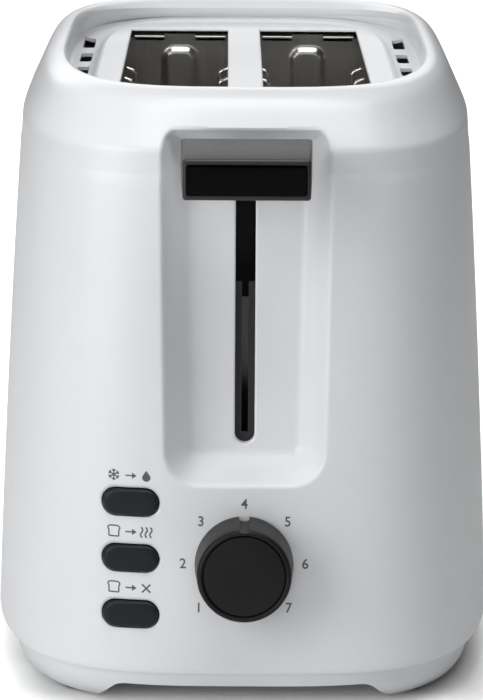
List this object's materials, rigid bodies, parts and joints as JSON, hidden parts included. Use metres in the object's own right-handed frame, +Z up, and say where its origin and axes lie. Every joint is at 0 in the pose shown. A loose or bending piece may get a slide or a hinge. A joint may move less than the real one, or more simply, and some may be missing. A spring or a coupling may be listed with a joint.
{
  "type": "pop up toaster",
  "caption": "Pop-up toaster with a moulded shell, bread slots in a sunken deck, a lift lever, a browning knob, push buttons and a crumb tray.",
  "frame": {"origin": "on the surface that the toaster stands on, under the middle of its box", "axes": "+Z up, +Y towards the rear, along the bread slots, +X to the right seen from the lever's end"},
  "size_m": [0.1596, 0.2839, 0.19],
  "materials": {
    "shell_plastic": "satin",
    "base_plastic": "satin",
    "foot_rubber": "matte",
    "zinc_steel": "satin",
    "chamber_steel": "polished",
    "guard_wire": "polished",
    "mica": "matte",
    "heating_ribbon": "satin",
    "copper_wire": "gloss",
    "brass": "satin",
    "board": "satin",
    "component_plastic": "matte",
    "natural_plastic": "matte",
    "black_plastic": "matte",
    "handle_plastic": "satin",
    "panel_gloss": "gloss",
    "knob_plastic": "satin",
    "button_plastic": "satin",
    "dark_steel": "matte",
    "printed_marks": "matte"
  },
  "bodies": {
    "housing": {"outer_shell": "shell_plastic", "top_deck": "shell_plastic", "base": "base_plastic", "foot_pads": "foot_rubber", "case_screws": "zinc_steel", "front_plate": "chamber_steel", "rear_plate": "chamber_steel", "reflector_left": "chamber_steel", "reflector_right": "chamber_steel", "chassis_rails": "chamber_steel", "chassis_screws": "zinc_steel", "heater_card_left": "mica", "heater_card_center": "mica", "heater_card_right": "mica", "heater_ribbon_left": "heating_ribbon", "heater_ribbon_center": "heating_ribbon", "heater_ribbon_right": "heating_ribbon", "guide_rods": "zinc_steel", "slot_seal": "black_plastic", "magnet_core": "zinc_steel", "magnet_coil": "copper_wire", "circuit_board": "board", "board_components": "component_plastic", "tact_switches": "component_plastic", "board_screws": "zinc_steel", "button_bracket": "natural_plastic", "browning_control": "zinc_steel", "switch_block": "component_plastic", "contact_leaves": "brass", "terminal_block": "natural_plastic", "cord_gland": "black_plastic", "carriage_springs": "zinc_steel"},
    "lift": {"carriage": "zinc_steel", "lever_arm": "zinc_steel", "lever_handle": "handle_plastic", "lever_panel": "panel_gloss", "armature": "zinc_steel", "lifter_left": "chamber_steel", "lifter_right": "chamber_steel"},
    "guard_left_outer": {"guard_left_outer": "guard_wire"},
    "guard_left_inner": {"guard_left_inner": "guard_wire"},
    "guard_right_inner": {"guard_right_inner": "guard_wire"},
    "guard_right_outer": {"guard_right_outer": "guard_wire"},
    "browning_knob": {"knob": "knob_plastic", "knob_cap": "knob_plastic", "control_shaft": "zinc_steel"},
    "defrost_button": {"defrost_button": "button_plastic"},
    "reheat_button": {"reheat_button": "button_plastic"},
    "cancel_button": {"cancel_button": "button_plastic"},
    "crumb_tray": {"crumb_tray": "chamber_steel", "tray_pull": "base_plastic"}
  },
  "joints": [
    {"name": "lever_slide", "type": "slide", "parent": "housing", "child": "lift", "axis": [0, 0, -1], "range_m": [0, 0.072], "stiffness_N_per_m": 60, "springref_m": -0.03, "deforming": ["carriage_springs"]},
    {"name": "guard_left_outer_tilt", "type": "hinge", "parent": "housing", "child": "guard_left_outer", "pos_m": [-0.0379, 0, 0.034], "axis": [0, 1, 0], "range_deg": [0, 3.1]},
    {"name": "guard_left_inner_tilt", "type": "hinge", "parent": "housing", "child": "guard_left_inner", "pos_m": [-0.0084, 0, 0.034], "axis": [0, -1, 0], "range_deg": [0, 3.1]},
    {"name": "guard_right_inner_tilt", "type": "hinge", "parent": "housing", "child": "guard_right_inner", "pos_m": [0.0084, 0, 0.034], "axis": [0, 1, 0], "range_deg": [0, 3.1]},
    {"name": "guard_right_outer_tilt", "type": "hinge", "parent": "housing", "child": "guard_right_outer", "pos_m": [0.0379, 0, 0.034], "axis": [0, -1, 0], "range_deg": [0, 3.1]},
    {"name": "knob_turn", "type": "hinge", "parent": "housing", "child": "browning_knob", "pos_m": [0, -0.12398, 0.0474], "axis": [0, -0.998, 0.0638], "range_deg": [-135, 135]},
    {"name": "defrost_press", "type": "slide", "parent": "housing", "child": "defrost_button", "axis": [0, 0.998, -0.0638], "range_m": [0, 0.002], "stiffness_N_per_m": 400},
    {"name": "reheat_press", "type": "slide", "parent": "housing", "child": "reheat_button", "axis": [0, 0.998, -0.0638], "range_m": [0, 0.002], "stiffness_N_per_m": 400},
    {"name": "cancel_press", "type": "slide", "parent": "housing", "child": "cancel_button", "axis": [0, 0.998, -0.0638], "range_m": [0, 0.002], "stiffness_N_per_m": 400},
    {"name": "tray_slide", "type": "slide", "parent": "housing", "child": "crumb_tray", "axis": [0, 1, 0], "range_m": [0, 0.15]}
  ],
  "couplings": [
    {"joint": "guard_left_outer_tilt", "follows": "lever_slide", "rad_per_m": 0.7272},
    {"joint": "guard_left_inner_tilt", "follows": "lever_slide", "rad_per_m": 0.7272},
    {"joint": "guard_right_inner_tilt", "follows": "lever_slide", "rad_per_m": 0.7272},
    {"joint": "guard_right_outer_tilt", "follows": "lever_slide", "rad_per_m": 0.7272}
  ]
}
